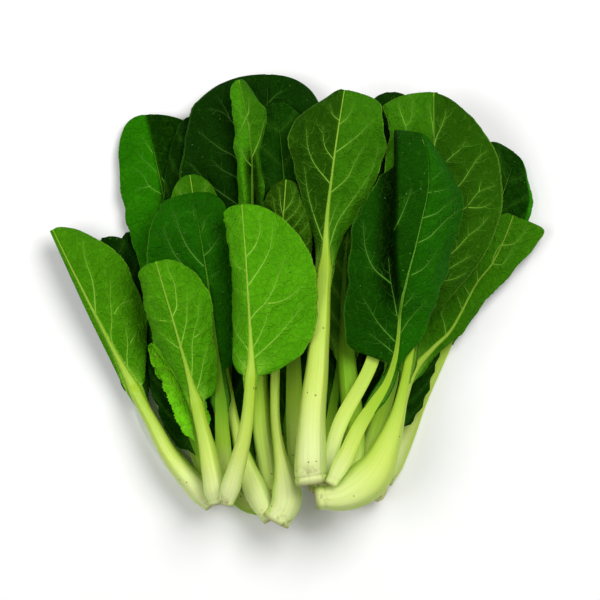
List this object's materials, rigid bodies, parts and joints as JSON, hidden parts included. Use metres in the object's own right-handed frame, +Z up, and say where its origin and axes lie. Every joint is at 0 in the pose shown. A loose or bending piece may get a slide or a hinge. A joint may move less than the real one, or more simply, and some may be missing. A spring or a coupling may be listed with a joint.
{
  "type": "bok choy bunch",
  "caption": "Bunch of small bok choy heads lying on their side: pale fleshy stalks meet at each base, and broad waved green leaves fan out from them.",
  "frame": {"origin": "middle of the bunch's outline seen from above, on the surface that it lies on", "axes": "+Z up from the surface, +Y from the stem ends towards the leaf tips, +X to the right seen from above"},
  "size_m": [0.2704, 0.25, 0.0691],
  "materials": {
    "stalk": "smooth, moist and slightly glossy, whitish green at the base and yellow green higher up",
    "crown": "pale cut stem with traces of soil",
    "leaf": "dark satin green with pale veins on the upper side, lighter and duller green on the back",
    "young_leaf": "bright satin green with pale veins"
  },
  "bodies": {
    "root": {"head_a_crown": "crown", "head_a_leaf_1_blade": "leaf", "head_a_leaf_1_stalk": "stalk", "head_a_leaf_2_blade": "leaf", "head_a_leaf_2_stalk": "stalk", "head_a_leaf_3_blade": "leaf", "head_a_leaf_3_stalk": "stalk", "head_a_leaf_4_blade": "leaf", "head_a_leaf_4_stalk": "stalk", "head_a_leaf_5_blade": "leaf", "head_a_leaf_5_stalk": "stalk", "head_a_leaf_6_blade": "leaf", "head_a_leaf_6_stalk": "stalk", "head_a_leaf_7_blade": "young_leaf", "head_a_leaf_7_stalk": "stalk", "head_a_leaf_8_blade": "leaf", "head_a_leaf_8_stalk": "stalk", "head_b_crown": "crown", "head_b_leaf_1_blade": "leaf", "head_b_leaf_1_stalk": "stalk", "head_b_leaf_2_blade": "leaf", "head_b_leaf_2_stalk": "stalk", "head_b_leaf_3_blade": "young_leaf", "head_b_leaf_3_stalk": "stalk", "head_b_leaf_4_blade": "leaf", "head_b_leaf_4_stalk": "stalk", "head_b_leaf_5_blade": "leaf", "head_b_leaf_5_stalk": "stalk", "head_b_leaf_6_blade": "leaf", "head_b_leaf_6_stalk": "stalk", "head_c_crown": "crown", "head_c_leaf_1_blade": "leaf", "head_c_leaf_1_stalk": "stalk", "head_c_leaf_2_blade": "leaf", "head_c_leaf_2_stalk": "stalk", "head_c_leaf_3_blade": "leaf", "head_c_leaf_3_stalk": "stalk", "head_c_leaf_4_blade": "leaf", "head_c_leaf_4_stalk": "stalk", "head_c_leaf_5_blade": "leaf", "head_c_leaf_5_stalk": "stalk", "head_c_leaf_6_blade": "leaf", "head_c_leaf_6_stalk": "stalk", "head_d_crown": "crown", "head_d_leaf_1_blade": "leaf", "head_d_leaf_1_stalk": "stalk", "head_d_leaf_2_blade": "leaf", "head_d_leaf_2_stalk": "stalk", "head_d_leaf_3_blade": "leaf", "head_d_leaf_3_stalk": "stalk", "head_d_leaf_4_blade": "leaf", "head_d_leaf_4_stalk": "stalk", "head_d_leaf_5_blade": "leaf", "head_d_leaf_5_stalk": "stalk", "head_d_leaf_6_blade": "leaf", "head_d_leaf_6_stalk": "stalk", "head_d_leaf_7_blade": "leaf", "head_d_leaf_7_stalk": "stalk", "head_d_leaf_8_blade": "leaf", "head_d_leaf_8_stalk": "stalk"}
  },
  "joints": []
}
